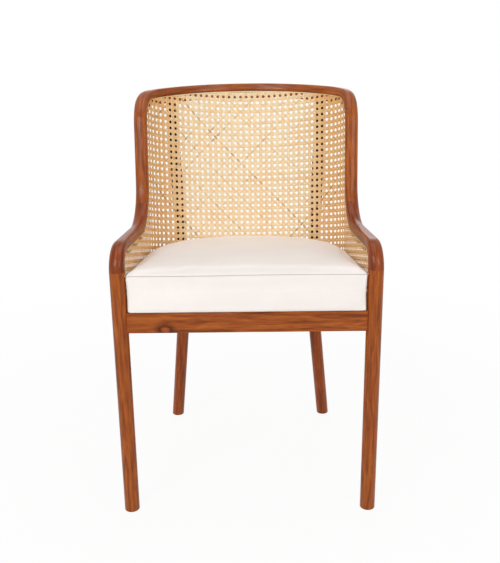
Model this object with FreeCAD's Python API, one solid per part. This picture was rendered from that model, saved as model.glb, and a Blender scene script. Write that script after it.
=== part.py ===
import FreeCAD, Part
import math
import os

Vector = FreeCAD.Vector

# Cane-backed dining chair, in millimetres. +Z is up and the chair faces -Y.
# While it is built, the front leg axes stand at y = 0; the last step moves the
# origin to the middle of the footprint.

# Plan of the barrel back, along the centreline of the frame at the arm joints
leg_span = 475.0            # front leg axis to front leg axis
back_depth = 412.0          # front leg axes to the middle of the back
side_taper = 2.5            # degrees that each side closes in towards the back
corner_radius = 100.0
back_arc_over = 37.5        # radius of the back arc, over half the span of the legs
back_lean = 8.0             # degrees that the whole back leans
seat_taper = 6.0            # the cushion closes in more, on rounder corners
seat_corner_radius = 170.0

# Legs
leg_dia = 29.5
rear_leg_dia = 29.0
stile_top_dia = 25.0        # the rear leg thins above the seat
arm_joint_z = 495.0         # top of the front legs
foot_round = 2.0
rear_foot_x = 189.0
rear_foot_y = 429.0
rear_bend_z = 350.0
rear_bend_radius = 250.0
stile_seat_x = 154.0
stile_top_x = 171.0
stile_clear = 0.6           # stile to the lip face that carries the cane
stile_housing = 8.0         # spare length of the stile, trimmed where it meets the crest
stile_tenon_dia = 10.0
stile_tenon_length = 8.0

# Bent outline of the frame, measured on the back's own surface
knee_radius = 31.0
arm_sweep_radius = 88.0
post_setback = 259.0        # leg to post along the side
crest_corner_radius = 54.0
crest_z = 812.8             # centreline of the crest at the middle
crest_crown = 12.0
arm_joint_angle = 60.0      # where the arm ends on its sweep up to the post
crest_joint_angle = 20.0    # where the post ends on the crest's corner

# Section of the frame: a rounded bead, and a lower lip for the cane
frame_inner = 13.5          # leg axes to the face on the sitter's side
frame_outer = 13.6          # leg axes to the outside face
frame_width = 33.0
bead_width = 17.0
rebate_depth = 4.0
outer_round = 12.0
inner_round = 6.0
lip_round = 2.0
face_bulge = 0.7
knee_blend = 1.5            # how soon the round of the leg gives way to the bead

# Cane and its splines
cane_thick = 1.7
cane_clear = 0.15
cane_foot = 14.0            # cane below the top of the seat rails
cane_columns = 12           # coarse openings that stand for the weave
cane_rows = 4
cane_open_share = 0.52      # opening to pitch, along the plan
cane_margin = 8.0           # openings to the edge of the frame
groove_width = 4.0
groove_depth = 4.5
spline_proud = 2.2
spline_clear = 0.4
bead_strip_thick = 4.0
bead_strip_height = 9.0

# Seat frame
rail_top = 418.0
rail_height = 41.0
front_rail_thick = 20.0
front_rail_ahead = 6.0      # front face of the rail ahead of the leg axes
front_rail_short = 12.5     # each end of the rail, short of the leg axis
hoop_thick = 20.0           # side and rear rails
rail_edge_round = 2.0
block_height = 32.0
block_reach = 58.0
block_depth = 32.0
block_half = 44.0

# Seat
cushion_gap = 4.0           # cushion to the cane
cushion_front = 13.0        # ahead of the front leg axes
cushion_lift = 0.3
cushion_wall = 71.0         # height of the front boxing
cushion_slope = 0.045
cushion_crown = 12.0
crown_start_inset = 8.0
crown_start_rise = 0.45     # share of the crown that has risen there
crown_mid_inset = 32.0
crown_mid_rise = 0.85
crown_top_inset = 80.0
cushion_draw = 1.5          # how far the boxing draws in at mid height
cushion_corner = 6.0
cover_thick = 1.4
foam_clear = 0.3
board_thick = 12.0
board_inset = 8.0

# Dowels and screws
dowel_dia = 8.0
dowel_length = 36.0
dowel_set_out = 1.0         # frame dowels keep clear of the spline groove
dowel_set_rim = 2.0
rail_dowel_spacing = 20.0
leg_dowel_depth = 12.0      # into the rear legs and the sides of the front legs
screw_dia = 4.0
screw_head_dia = 8.0
screw_head_depth = 2.4
screw_head_room = 0.4
block_screw_share = 0.6     # where the screws stand along the front blocks
rail_bite = 12.0            # block screws into the rails
seat_screw_length = 38.0
screw_offset = 27.0         # rear block screws, either side of the leg

# Stations of the lofts
knee_stations = 12
arm_stations = 10
sweep_stations = 6
joint_stations = 3          # of each bend that a post takes over at its ends
post_stations = 6
corner_stations = 6
crown_stations = 40
band_stations = 14

# Values that follow
lean = math.radians(back_lean)
taper = math.radians(side_taper)
shift_per_z = math.tan(lean)
half_span = leg_span / 2
back_radius = half_span + back_arc_over
leg_r = leg_dia / 2
half_width = frame_width / 2
lip_face = frame_inner - rebate_depth
step_at = half_width - bead_width
cane_out = lip_face + cane_clear
cane_in = cane_out + cane_thick
cane_bottom = rail_top - cane_foot
rail_bottom = rail_top - rail_height
rail_mid = rail_top - rail_height / 2
generator = Vector(0, shift_per_z, 1)
back_centre = Vector(0, back_depth - back_radius, 0)


def tangent_plan(start, radius):
    """Right half of a plan: a straight side at an angle, a corner arc and the back arc, all tangent."""
    slope = math.tan(start)
    reach = half_span - radius / math.cos(start)
    quad_a = slope ** 2 + 1
    quad_b = -2 * reach * slope - 2 * back_centre.y
    quad_c = reach ** 2 + back_centre.y ** 2 - (back_radius - radius) ** 2
    corner_y = (-quad_b + math.sqrt(quad_b ** 2 - 4 * quad_a * quad_c)) / (2 * quad_a)
    centre = Vector(reach - slope * corner_y, corner_y, 0)
    end = math.atan2(corner_y - back_centre.y, centre.x)
    to_corner = (corner_y + radius * math.sin(start)) / math.cos(start)
    to_back = to_corner + radius * (end - start)
    to_middle = to_back + back_radius * (math.pi / 2 - end)
    return {"start": start, "radius": radius, "centre": centre, "end": end,
            "to_corner": to_corner, "to_back": to_back, "to_middle": to_middle}


back_plan = tangent_plan(taper, corner_radius)
seat_plan = tangent_plan(math.radians(seat_taper), seat_corner_radius)
s_corner = back_plan["to_corner"]
s_back = back_plan["to_back"]
s_middle = back_plan["to_middle"]


def plan_point(s, out, plan=back_plan):
    """Point of a plan at distance s from the right leg, set outwards by out, and its normal."""
    if s > plan["to_middle"]:
        point, normal = plan_point(2 * plan["to_middle"] - s, out, plan)
        return Vector(-point.x, point.y, 0), Vector(-normal.x, normal.y, 0)
    if s <= plan["to_corner"]:
        angle = plan["start"]
        base = Vector(half_span - s * math.sin(angle), s * math.cos(angle), 0)
        radius = 0.0
    elif s <= plan["to_back"]:
        angle = plan["start"] + (s - plan["to_corner"]) / plan["radius"]
        base = plan["centre"]
        radius = plan["radius"]
    else:
        angle = plan["end"] + (s - plan["to_back"]) / back_radius
        base = back_centre
        radius = back_radius
    normal = Vector(math.cos(angle), math.sin(angle), 0)
    return base + normal * (radius + out), normal


def surface_point(s, z, out=0.0, plan=back_plan):
    point, normal = plan_point(s, out, plan)
    return point + generator * (z - arm_joint_z) + Vector(0, 0, arm_joint_z)


def s_where_x(x, out):
    low, high = 0.0, s_middle
    for step in range(50):
        middle = (low + high) / 2
        if plan_point(middle, out)[0].x > x:
            low = middle
        else:
            high = middle
    return low


def path_frame(s, z, along_s, along_z):
    """Point on the back's surface with its inward and outline-outward directions."""
    normal = plan_point(s, 0.0)[1]
    along_plan = Vector(-normal.y, normal.x, 0)
    outward = along_plan.cross(generator)
    outward.normalize()
    tangent = along_plan * along_s + generator * along_z
    tangent.normalize()
    rim = outward.cross(tangent)
    return surface_point(s, z), outward * -1, rim, tangent


def leg_frame(z):
    outward = Vector(math.cos(taper), math.sin(taper), 0)
    up = Vector(0, 0, 1)
    return Vector(half_span, 0, z), outward * -1, outward.cross(up), up


def arc_frames(centre, radius, start, end, count):
    frames = []
    turn = 1 if end > start else -1
    for i in range(count + 1):
        a = math.radians(start + (end - start) * i / count)
        s = centre[0] + radius * math.cos(a)
        z = centre[1] + radius * math.sin(a)
        frames.append(path_frame(s, z, -turn * math.sin(a), turn * math.cos(a)))
    return frames


# Outline of the frame on the developed surface
knee_centre = (knee_radius * math.cos(lean), arm_joint_z + knee_radius * math.sin(lean))
arm_level = knee_centre[1] + knee_radius
sweep_centre = (post_setback - arm_sweep_radius, arm_level + arm_sweep_radius)
crown_half = s_middle - post_setback - crest_corner_radius
crown_radius = (crown_half ** 2 + crest_crown ** 2) / (2 * crest_crown)
crown_centre_z = crest_z - crown_radius
corner_gap = crown_radius - crest_corner_radius
crest_corner = (post_setback + crest_corner_radius,
                crown_centre_z + math.sqrt(corner_gap ** 2 - crown_half ** 2))
crown_start = math.degrees(math.atan2(crest_corner[1] - crown_centre_z, -crown_half))


def knee_frames(count):
    return [leg_frame(arm_joint_z)] + arc_frames(knee_centre, knee_radius, 180 + back_lean, 90, count)[1:]


def arm_frames(count):
    """Level stretch of the arm, without its two ends."""
    length = sweep_centre[0] - knee_centre[0]
    return [path_frame(knee_centre[0] + length * i / count, arm_level, 1, 0) for i in range(1, count)]


def sweep_frames(start, end, count):
    return arc_frames(sweep_centre, arm_sweep_radius, start - 90, end - 90, count)


def post_frames(count):
    """Straight stretch of the post, without its two ends."""
    height = crest_corner[1] - sweep_centre[1]
    return [path_frame(post_setback, sweep_centre[1] + height * i / count, 0, 1) for i in range(1, count)]


def corner_frames(start, end, count):
    return arc_frames(crest_corner, crest_corner_radius, 180 - start, 180 - end, count)


def crest_frames(count):
    """Crown of the crest from the right corner to the left one."""
    return arc_frames((s_middle, crown_centre_z), crown_radius, crown_start, 180 - crown_start, count)


def mirrored_frames(frames):
    """The same stretch on the left side, in reverse."""
    turned = []
    for point, inward, rim, tangent in reversed(frames):
        turned.append((Vector(-point.x, point.y, point.z), Vector(-inward.x, inward.y, inward.z),
                       Vector(-rim.x, rim.y, rim.z), Vector(tangent.x, -tangent.y, -tangent.z)))
    return turned


corner_turn = 180 - crown_start
side_frames = knee_frames(knee_stations) + sweep_frames(0, 90, band_stations)
side_frames += corner_frames(0, corner_turn, band_stations)
crown_frames = crest_frames(crown_stations)


def largest(shape):
    return max(shape.Solids, key=lambda solid: solid.Volume)


def place(frame, inward, rim):
    return frame[0] + frame[1] * inward + frame[2] * rim


def loft(wires, ruled=False):
    return Part.makeLoft(wires, True, ruled)


def polygon(points):
    return Part.makePolygon(points + [points[0]])


def band(frames, corners):
    """Solid with a straight-sided section along the frames, in short straight lengths."""
    return loft([polygon([place(f, n, b) for n, b in corners]) for f in frames], True)


def mirrored(shape):
    return shape.mirror(Vector(0, 0, 0), Vector(1, 0, 0))


def whole_band(leg_run, corners):
    """Stretches of a band up the right side, along the crest and down the left side."""
    side = band(leg_run + side_frames, corners)
    return [side, band(crown_frames, corners), mirrored(side)]


def on_circle(angle):
    a = math.radians(angle)
    return leg_r * math.cos(a), leg_r * math.sin(a)


def frame_section(frame, roundness):
    """Section of the bent frame; roundness 1 gives the round of the leg with the same rebate."""
    bend = 1 - math.sqrt(0.5)
    outer = -frame_outer
    groove = lip_face - groove_depth
    land = step_at - groove_width
    rail = {
        "outer_low": (outer, outer_round - half_width),
        "outer_mid": (outer - face_bulge, 0.0),
        "outer_high": (outer, half_width - outer_round),
        "top_turn": (outer + outer_round * bend, half_width - outer_round * bend),
        "top_out": (outer + outer_round, half_width),
        "top_mid": ((outer + outer_round + frame_inner - inner_round) / 2, half_width + face_bulge / 2),
        "top_in": (frame_inner - inner_round, half_width),
        "bead_turn": (frame_inner - inner_round * bend, half_width - inner_round * bend),
        "bead_high": (frame_inner, half_width - inner_round),
        "bead_mid": (frame_inner + face_bulge / 2, (half_width - inner_round + step_at) / 2),
        "bead_low": (frame_inner, step_at),
        "lip_low": (lip_face, lip_round - half_width),
        "lip_turn": (lip_face - lip_round * bend, lip_round * bend - half_width),
        "under_in": (lip_face - lip_round, -half_width),
        "under_mid": ((lip_face - lip_round + outer + outer_round) / 2, -half_width - face_bulge / 2),
        "under_out": (outer + outer_round, -half_width),
        "under_turn": (outer + outer_round * bend, outer_round * bend - half_width),
    }
    lip_angle = -math.degrees(math.acos(lip_face / leg_r))
    under_angle = -math.degrees(math.acos((lip_face - lip_round) / leg_r))
    step_angle = math.degrees(math.asin(step_at / leg_r))
    turned = {
        "outer_low": on_circle(202.5),
        "outer_mid": on_circle(180),
        "outer_high": on_circle(157.5),
        "top_turn": on_circle(135),
        "top_out": on_circle(112.5),
        "top_mid": on_circle(90),
        "top_in": on_circle(67.5),
        "bead_turn": on_circle(45),
        "bead_high": on_circle(22.5),
        "bead_mid": on_circle((22.5 + step_angle) / 2),
        "bead_low": on_circle(step_angle),
        "lip_low": on_circle(lip_angle),
        "lip_turn": on_circle((lip_angle + under_angle) / 2),
        "under_in": on_circle(under_angle),
        "under_mid": on_circle((under_angle - 112.5) / 2),
        "under_out": on_circle(-112.5),
        "under_turn": on_circle(-135),
    }
    at = {}
    for key in rail:
        n = rail[key][0] * (1 - roundness) + turned[key][0] * roundness
        b = rail[key][1] * (1 - roundness) + turned[key][1] * roundness
        at[key] = place(frame, n, b)
    groove_in = place(frame, groove, step_at)
    groove_out = place(frame, groove, land)
    land_edge = place(frame, lip_face, land)
    curves = [
        Part.Arc(at["outer_low"], at["outer_mid"], at["outer_high"]),
        Part.Arc(at["outer_high"], at["top_turn"], at["top_out"]),
        Part.Arc(at["top_out"], at["top_mid"], at["top_in"]),
        Part.Arc(at["top_in"], at["bead_turn"], at["bead_high"]),
        Part.Arc(at["bead_high"], at["bead_mid"], at["bead_low"]),
        Part.LineSegment(at["bead_low"], groove_in),
        Part.LineSegment(groove_in, groove_out),
        Part.LineSegment(groove_out, land_edge),
        Part.LineSegment(land_edge, at["lip_low"]),
        Part.Arc(at["lip_low"], at["lip_turn"], at["under_in"]),
        Part.Arc(at["under_in"], at["under_mid"], at["under_out"]),
        Part.Arc(at["under_out"], at["under_turn"], at["outer_low"]),
    ]
    return Part.Wire([curve.toShape() for curve in curves])


def frame_piece(frames, roundness=None):
    roundness = roundness or [0.0] * len(frames)
    return loft([frame_section(f, r) for f, r in zip(frames, roundness)])


def plan_edges(out, s_from, s_to, z):
    """Edges of the plan at height z, split where its curvature changes."""
    breaks = [s_corner, s_back, 2 * s_middle - s_back, 2 * s_middle - s_corner]
    stops = [s_from] + [s for s in breaks if s_from < s < s_to] + [s_to]
    edges = []
    for a, b in zip(stops[:-1], stops[1:]):
        start = surface_point(a, z, out)
        end = surface_point(b, z, out)
        straight = b <= s_corner or a >= 2 * s_middle - s_corner
        if straight:
            edges.append(Part.LineSegment(start, end).toShape())
        else:
            edges.append(Part.Arc(start, surface_point((a + b) / 2, z, out), end).toShape())
    return edges


def hoop(out_inner, out_outer, s_from, s_to, z_from, z_to):
    """Leaning wall along the plan between two offsets and two heights."""
    inner = plan_edges(out_inner, s_from, s_to, z_from)
    outer = plan_edges(out_outer, s_from, s_to, z_from)
    ends = []
    for s in (s_from, s_to):
        a = surface_point(s, z_from, out_inner)
        b = surface_point(s, z_from, out_outer)
        ends.append(Part.LineSegment(a, b).toShape())
    loop = Part.Wire(Part.__sortEdges__(inner + outer + ends))
    return Part.Face(loop).extrude(generator * (z_to - z_from))


def rod(start, end, diameter):
    return Part.makeCylinder(diameter / 2, (end - start).Length, start, end - start)


def dowel(middle, direction, back, ahead):
    return rod(middle - direction * back, middle + direction * ahead, dowel_dia)


def screw(head, direction, length):
    cone = Part.makeCone(screw_head_dia / 2, screw_dia / 2, screw_head_depth, head, direction)
    return cone.fuse(rod(head + direction * screw_head_depth, head + direction * length, screw_dia))


# Dowels of the bent frame, on both sides
arm_end = sweep_frames(arm_joint_angle, arm_joint_angle + 1, 1)[0]
post_end = corner_frames(crest_joint_angle, crest_joint_angle + 1, 1)[0]
half_dowel = dowel_length / 2
right_frame_dowels = []
for joint in (leg_frame(arm_joint_z), arm_end, post_end):
    middle = place(joint, -dowel_set_out, dowel_set_rim)
    right_frame_dowels.append(dowel(middle, joint[3], half_dowel, half_dowel))
frame_dowels = Part.makeCompound(right_frame_dowels + [mirrored(d) for d in right_frame_dowels])

# Arms: round at the leg, bead and lip by the end of the knee
knee = knee_frames(knee_stations)
arm_run = arm_frames(arm_stations) + sweep_frames(0, arm_joint_angle, sweep_stations)
knee_roundness = [(1 - i / knee_stations) ** knee_blend for i in range(knee_stations + 1)]
arm_right = frame_piece(knee + arm_run, knee_roundness + [0.0] * len(arm_run)).cut(frame_dowels)

# Posts: the end of the sweep, the straight, and the start of the crest's corner
post_low = sweep_frames(arm_joint_angle, 90, joint_stations)
post_high = corner_frames(0, crest_joint_angle, joint_stations)
post_right = frame_piece(post_low + post_frames(post_stations) + post_high).cut(frame_dowels)

# Crest: both corners and the crown in one length
crest_corner_run = corner_frames(crest_joint_angle, corner_turn, corner_stations)
crest_run = crest_corner_run + crown_frames[1:-1] + mirrored_frames(crest_corner_run)
crest = frame_piece(crest_run).cut(frame_dowels)

# Rear legs: a raked foot, a bend under the seat, and a stile that thins up to the crest
stile_top_r = stile_top_dia / 2
rear_r = rear_leg_dia / 2
stile_low_out = stile_clear + rear_r - lip_face
stile_high_out = stile_clear + stile_top_r - lip_face
s_stile_low = s_where_x(stile_seat_x, stile_low_out)
s_stile_high = s_where_x(stile_top_x, stile_high_out)
stile_low = surface_point(s_stile_low, rail_top, stile_low_out)
stile_high = surface_point(s_stile_high, crest_z - half_width + stile_housing, stile_high_out)
stile_way = stile_high - stile_low
stile_way.normalize()
bend_point = stile_low + stile_way * ((rear_bend_z - rail_top) / stile_way.z)
foot_point = Vector(rear_foot_x, rear_foot_y, 0)
foot_way = foot_point - bend_point
foot_way.normalize()
bend_turn = math.pi - foot_way.getAngle(stile_way)
bend_reach = rear_bend_radius * math.tan(bend_turn / 2)
bend_out = (foot_way + stile_way)
bend_out.normalize()
bend_mid = bend_point + bend_out * (rear_bend_radius * (1 / math.cos(bend_turn / 2) - 1))
below_foot = foot_point + foot_way * rear_leg_dia
bend_low = bend_point + foot_way * bend_reach
bend_high = bend_point + stile_way * bend_reach
leg_spine = Part.Wire([
    Part.LineSegment(below_foot, bend_low).toShape(),
    Part.Arc(bend_low, bend_mid, bend_high).toShape(),
    Part.LineSegment(bend_high, stile_low).toShape(),
])
leg_ring = Part.Wire(Part.makeCircle(rear_r, below_foot, foot_way))
rear_right = leg_spine.makePipeShell([leg_ring], True, False)
stile = Part.makeCone(rear_r, stile_top_r, (stile_high - stile_low).Length, stile_low, stile_way)
tenon_root = stile_high - stile_way * (stile_housing + frame_width)      # well below the crest
stile_tenon = rod(tenon_root, stile_high + stile_way * stile_tenon_length, stile_tenon_dia)
floor_room = Part.makeBox(4 * leg_span, 4 * leg_span, 2 * crest_z,
                          Vector(-2 * leg_span, -2 * leg_span, 0))
crest_bored = crest.cut(stile_tenon).cut(mirrored(stile_tenon))
rear_right = largest(rear_right.fuse(stile).common(floor_room).cut(crest))
rear_right = rear_right.fuse(stile_tenon).removeSplitter()


def rounded_foot(leg):
    rim = [e for e in leg.Edges if e.BoundBox.ZMax < 0.01]
    return leg.makeFillet(foot_round, rim)


rear_right = rounded_foot(rear_right)

# Front legs with the rebate and groove that carry on from the arms
rebate_frame = leg_frame(rail_top)
rebate_corners = [
    (lip_face - groove_depth, step_at),
    (lip_face - groove_depth, step_at - groove_width),
    (lip_face, step_at - groove_width),
    (lip_face, -leg_dia),
    (leg_dia, -leg_dia),
    (leg_dia, step_at),
]
rebate_loop = polygon([place(rebate_frame, n, b) for n, b in rebate_corners])
leg_rebate = Part.Face(rebate_loop).extrude(Vector(0, 0, arm_joint_z - rail_top))
front_right = rounded_foot(Part.makeCylinder(leg_r, arm_joint_z, Vector(half_span, 0, 0)))
front_cylinders = Part.makeCompound([front_right, mirrored(front_right)])

# Seat rails: a straight front rail, and side and rear rails that follow the plan
front_rail_half = half_span - front_rail_short
front_rail = Part.makeBox(2 * front_rail_half, front_rail_thick, rail_height,
                          Vector(-front_rail_half, -front_rail_ahead, rail_bottom))
front_edges = [e for e in front_rail.Edges
               if e.BoundBox.YMax < 0 and e.BoundBox.XLength > half_span]
front_rail = front_rail.makeFillet(rail_edge_round, front_edges).cut(front_cylinders)
s_rear_leg = s_where_x(surface_point(s_stile_low, rail_mid, 0).x, 0)
rail_inner = -lip_face
rail_outer = hoop_thick - lip_face
rear_pair = rear_right.fuse(mirrored(rear_right))
side_rail_right = hoop(rail_inner, rail_outer, 0, s_rear_leg, rail_bottom, rail_top)
side_rail_right = largest(side_rail_right.cut(front_cylinders).cut(rear_pair))
rear_rail = hoop(rail_inner, rail_outer, s_rear_leg, 2 * s_middle - s_rear_leg, rail_bottom, rail_top)
rear_rail = largest(rear_rail.cut(rear_pair))

# Rail dowels
leg_normal = Vector(math.cos(taper), math.sin(taper), 0)
side_way = Vector(-math.sin(taper), math.cos(taper), 0)
rail_centre_out = (rail_inner + rail_outer) / 2
rail_reach = dowel_length - leg_dowel_depth
right_rail_dowels = []
for side in (-1, 1):
    level = rail_mid + side * rail_dowel_spacing / 2
    inner_face = Vector(half_span - leg_r, front_rail_thick / 2 - front_rail_ahead, level)
    right_rail_dowels.append(dowel(inner_face, Vector(-1, 0, 0), half_dowel, half_dowel))
    s_face = s_rear_leg + side * rear_r
    normal = plan_point(s_face + side * rail_reach / 2, 0)[1]
    away = Vector(-normal.y, normal.x, 0) * side
    face = surface_point(s_face, level, rail_centre_out)
    right_rail_dowels.append(dowel(face, away, leg_dowel_depth, rail_reach))
side_face = Vector(half_span, 0, rail_mid) + leg_normal * rail_centre_out + side_way * leg_r
right_rail_dowels.append(dowel(side_face, side_way, leg_dowel_depth, rail_reach))
rail_dowels = Part.makeCompound(right_rail_dowels + [mirrored(d) for d in right_rail_dowels])

# Corner blocks under the seat board
cane_zone = hoop(-cane_in - bead_strip_thick - spline_clear, rail_inner, 0, 2 * s_middle,
                 cane_bottom - spline_clear, rail_top + rail_height)
block_bottom = rail_top - block_height
front_corner = surface_point(0, rail_mid, rail_inner)
front_inside = front_rail_thick - front_rail_ahead
block_end = block_reach + front_inside + (arm_joint_z - rail_mid) * shift_per_z
block_points = [
    Vector(front_corner.x + hoop_thick / 2, front_inside, block_bottom),
    Vector(front_corner.x - block_reach, front_inside, block_bottom),
    surface_point(block_end, rail_mid, rail_inner),
    surface_point(block_end, rail_mid, 0),
]
for point in block_points:
    point.z = block_bottom
rail_solids = [side_rail_right, rear_rail, front_right, rear_right]
block_blank = Part.Face(polygon(block_points)).extrude(Vector(0, 0, block_height))
block_front_right = largest(block_blank.cut(rail_solids).cut(cane_zone))
block_back = hoop(rail_inner - block_depth, 0, s_rear_leg - block_half, s_rear_leg + block_half,
                  block_bottom, rail_top)
block_rear_right = largest(block_back.cut(rail_solids).cut(cane_zone))

# Screws through the blocks into the rails, and up into the seat board
block_screw_z = (block_bottom + cane_bottom) / 2
deep = block_reach * (1 - block_screw_share)
front_x = front_corner.x - block_reach * block_screw_share
side_s = block_end - deep
front_head = Vector(front_x, front_inside + deep, block_screw_z)
side_head = surface_point(side_s, block_screw_z, rail_inner) - leg_normal * deep
head_hole = screw_head_dia + screw_head_room
right_block_screws = []
head_holes = []
for head, way in ((front_head, Vector(0, -1, 0)), (side_head, leg_normal)):
    right_block_screws.append(screw(head, way, deep + rail_bite))
    head_holes.append(rod(head - way * block_reach, head, head_hole))
for side in (-1, 1):
    s_screw = s_rear_leg + side * screw_offset
    way = plan_point(s_screw, 0)[1]
    head = surface_point(s_screw, block_screw_z, rail_inner - block_depth)
    right_block_screws.append(screw(head, way, block_depth + rail_bite))
block_screws = Part.makeCompound(right_block_screws + [mirrored(s) for s in right_block_screws])
up = Vector(0, 0, 1)
right_seat_screws = []
for middle in (block_front_right.CenterOfMass, block_rear_right.CenterOfMass):
    right_seat_screws.append(screw(Vector(middle.x, middle.y, block_bottom), up, seat_screw_length))
seat_screws = Part.makeCompound(right_seat_screws + [mirrored(s) for s in right_seat_screws])

# Cane: one sheet round the inside of the frame, cut to the edge of the spline groove
cane_edge = step_at - groove_width - spline_clear
outside = [(-leg_dia, cane_edge), (leg_dia, cane_edge),
           (leg_dia, cane_edge + leg_dia), (-leg_dia, cane_edge + leg_dia)]
leg_run = [leg_frame(z) for z in (rail_bottom, rail_top, (rail_top + arm_joint_z) / 2)]
leg_room = Part.makeCylinder(leg_r + cane_clear, rail_top + cane_clear, Vector(half_span, 0, 0))
rail_room = Part.makeBox(leg_span, front_rail_thick, rail_height,
                         Vector(-half_span, cane_clear - front_rail_ahead, rail_bottom + cane_clear))
seat_corners = [leg_room, mirrored(leg_room), rail_room]
cane_sheet = hoop(-cane_in, -cane_out, -leg_r / 2, 2 * s_middle + leg_r / 2, cane_bottom, crest_z)
cane = largest(cane_sheet.cut(whole_band(leg_run, outside)).cut(seat_corners))


def clear_of_frame(s, z):
    """Whether a point of the cane lies inside the frame's edge by the margin."""
    edge = half_width + cane_margin
    if min(s, 2 * s_middle - s) < post_setback + edge:
        return z < arm_level - edge
    return z < crest_z - crest_crown - edge


column_pitch = 2 * s_middle / cane_columns
row_pitch = (crest_z - half_width - rail_top) / cane_rows
open_half = column_pitch * cane_open_share / 2
cane_openings = []
for column in range(cane_columns):
    for row in range(cane_rows):
        left_s = column_pitch * (column + 0.5) - open_half
        right_s = left_s + 2 * open_half
        low_z = rail_top + row_pitch * (row + 0.5) - open_half
        high_z = low_z + 2 * open_half
        if clear_of_frame(left_s, high_z) and clear_of_frame(right_s, high_z):
            cane_openings.append(hoop(-cane_in - cane_thick, -cane_out + cane_thick,
                                      left_s, right_s, low_z, high_z))
cane = largest(cane.cut(cane_openings))

# Splines: one round the frame in its groove, and a flat strip round the seat rails
spline_low = lip_face - groove_depth + spline_clear
spline_high = cane_in + spline_proud - cane_thick
spline_rim = step_at - spline_clear
spline_inner = step_at - groove_width + spline_clear
spline_corners = [(spline_low, spline_inner), (spline_low, spline_rim), (spline_high, spline_rim),
                  (spline_high, spline_inner)]
spline_run = [leg_frame(z) for z in (rail_top + spline_clear, (rail_top + arm_joint_z) / 2)]
spline_lengths = whole_band(spline_run, spline_corners)
frame_spline = spline_lengths[0].fuse(spline_lengths[1:])
seat_spline = hoop(-cane_in - bead_strip_thick, -cane_in - spline_clear, 0, 2 * s_middle,
                   cane_bottom, cane_bottom + bead_strip_height)
seat_spline = largest(seat_spline.cut(seat_corners))


# Cushion outline at a height, with its plane sloping down to the back
def cushion_outline(inset, z_front, slope):
    front_y = inset - cushion_front
    out = -cane_in - cushion_gap - inset

    def on_plane(s):
        flat = surface_point(s, arm_joint_z, out, seat_plan)
        rise = (flat.y - shift_per_z * arm_joint_z - front_y) * slope
        z = (z_front - rise) / (1 + slope * shift_per_z)
        return surface_point(s, z, out, seat_plan)

    low = on_plane(0.0)
    s_front = (front_y - low.y) / math.cos(seat_plan["start"])
    tip = on_plane(s_front)
    beside = on_plane(s_front + cushion_corner)
    ahead = tip + Vector(-cushion_corner, 0, 0)
    turn = tip + (beside - tip + ahead - tip) * (1 - math.sqrt(0.5))
    side_end = seat_plan["to_corner"]
    corner_end = seat_plan["to_back"]
    middle = seat_plan["to_middle"]
    stops = [on_plane(s) for s in (side_end, (side_end + corner_end) / 2, corner_end, middle)]

    def left(point):
        return Vector(-point.x, point.y, point.z)

    curves = [
        Part.LineSegment(left(ahead), ahead),
        Part.Arc(ahead, turn, beside),
        Part.LineSegment(beside, stops[0]),
        Part.Arc(stops[0], stops[1], stops[2]),
        Part.Arc(stops[2], stops[3], left(stops[2])),
        Part.Arc(left(stops[2]), left(stops[1]), left(stops[0])),
        Part.LineSegment(left(stops[0]), left(beside)),
        Part.Arc(left(beside), left(turn), left(ahead)),
    ]
    return Part.Wire([curve.toShape() for curve in curves])


cushion_bottom = rail_top + cushion_lift
seam_z = cushion_bottom + cushion_wall


def cushion_form(shrink, bottom):
    """Boxed cushion: walls drawn in at mid height, and a crown that rises from the seam."""
    middle = (bottom + seam_z) / 2
    top = seam_z - shrink
    walls = loft([cushion_outline(shrink, bottom, 0.0),
                  cushion_outline(shrink + cushion_draw, middle, cushion_slope / 2),
                  cushion_outline(shrink, top, cushion_slope)])
    stages = ((0.0, 0.0), (crown_start_inset, crown_start_rise), (crown_mid_inset, crown_mid_rise),
              (crown_top_inset, 1.0))
    crown = loft([cushion_outline(shrink + inset, top + cushion_crown * rise, cushion_slope)
                  for inset, rise in stages])
    return walls.fuse(crown).removeSplitter()


board_top = rail_top + board_thick
seat_board = Part.Face(cushion_outline(board_inset, rail_top, 0.0)).extrude(up * board_thick)
seat_cover = cushion_form(0.0, cushion_bottom).cut(cushion_form(cover_thick, rail_top - board_thick))
above_board = Part.makeBox(2 * leg_span, 2 * leg_span, crest_z,
                           Vector(-leg_span, -leg_span, board_top + foam_clear))
seat_foam = cushion_form(cover_thick + foam_clear, rail_top - board_thick).common(above_board)

# Bores for the dowels, the tenons and the screws
front_right = front_right.cut(leg_rebate).cut([frame_dowels, rail_dowels])
side_rail_right = side_rail_right.cut([rail_dowels, block_screws])
rear_rail = rear_rail.cut([rail_dowels, block_screws])
rear_right = rear_right.cut(rail_dowels)
front_rail = front_rail.cut([rail_dowels, block_screws])
block_front_right = block_front_right.cut([block_screws, seat_screws] + head_holes)
block_rear_right = block_rear_right.cut([block_screws, seat_screws])
seat_board = seat_board.cut(seat_screws)

pieces = {
    "crest_rail": crest_bored,
    "front_rail": front_rail,
    "rear_rail": rear_rail,
    "cane_panel": cane,
    "frame_spline": frame_spline,
    "seat_spline": seat_spline,
    "seat_board": seat_board,
    "seat_foam": seat_foam,
    "seat_cover": seat_cover,
    "frame_dowels": frame_dowels,
    "rail_dowels": rail_dowels,
    "block_screws": block_screws,
    "seat_screws": seat_screws,
}
pairs = {
    "front_leg": front_right,
    "rear_leg": rear_right,
    "side_post": post_right,
    "arm": arm_right,
    "side_rail": side_rail_right,
    "front_block": block_front_right,
    "rear_block": block_rear_right,
}
for name, shape in pairs.items():
    pieces[name + "_right"] = shape
    pieces[name + "_left"] = mirrored(shape)

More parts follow.
